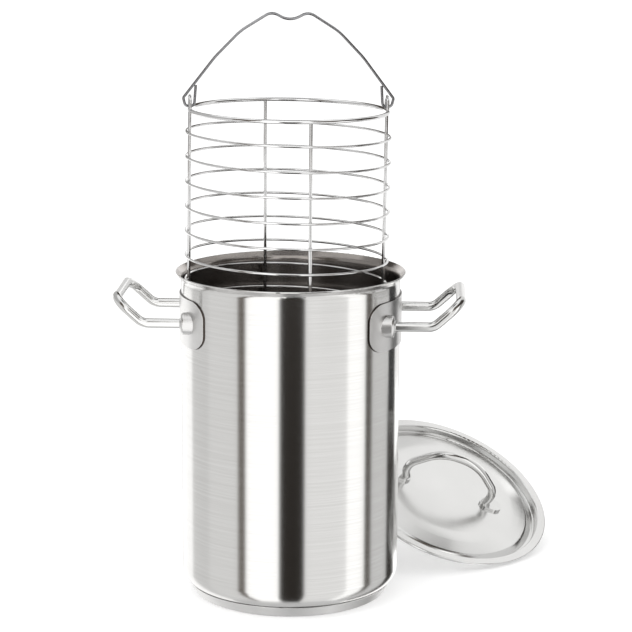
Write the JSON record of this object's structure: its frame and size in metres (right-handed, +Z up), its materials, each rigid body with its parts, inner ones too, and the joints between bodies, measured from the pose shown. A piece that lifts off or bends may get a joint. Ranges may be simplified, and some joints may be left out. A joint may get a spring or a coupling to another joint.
{
  "type": "asparagus pot",
  "caption": "Tall narrow stainless steel pot with a wire lift-out basket, two side handles and a lid leaning beside it.",
  "frame": {"origin": "centre of the base's underside, on the surface that the pot stands on", "axes": "+Z up along the pot's axis, +X towards one side handle"},
  "size_m": [0.3238, 0.2795, 0.4284],
  "materials": {
    "pot_steel": "brushed",
    "polished_steel": "polished",
    "wire_steel": "polished",
    "core_aluminium": "plain"
  },
  "bodies": {
    "pot": {"pot_body": "pot_steel", "base_cap": "pot_steel", "base_core": "core_aluminium", "right_handle_bracket": "polished_steel", "left_handle_bracket": "polished_steel", "right_side_handle": "polished_steel", "left_side_handle": "polished_steel", "basket_top_ring": "wire_steel", "basket_side_wire": "wire_steel", "basket_cross_wire": "wire_steel", "basket_hoop_01": "wire_steel", "basket_hoop_02": "wire_steel", "basket_hoop_03": "wire_steel", "basket_hoop_04": "wire_steel", "basket_hoop_05": "wire_steel", "basket_hoop_06": "wire_steel", "basket_hoop_07": "wire_steel", "basket_hoop_08": "wire_steel", "basket_hoop_09": "wire_steel", "basket_hoop_10": "wire_steel", "basket_hoop_11": "wire_steel", "basket_bottom_ring_inner": "wire_steel", "basket_bottom_ring_outer": "wire_steel", "right_bail_eye": "wire_steel", "left_bail_eye": "wire_steel", "lid": "pot_steel", "lid_handle": "polished_steel"},
    "bail": {"bail": "wire_steel"}
  },
  "joints": [
    {"name": "bail_hinge", "type": "hinge", "parent": "pot", "child": "bail", "pos_m": [-0.00173, 0.00034, 0.36079], "axis": [0.9862, 0.165, -0.0122], "range_deg": [-90, 90]}
  ]
}
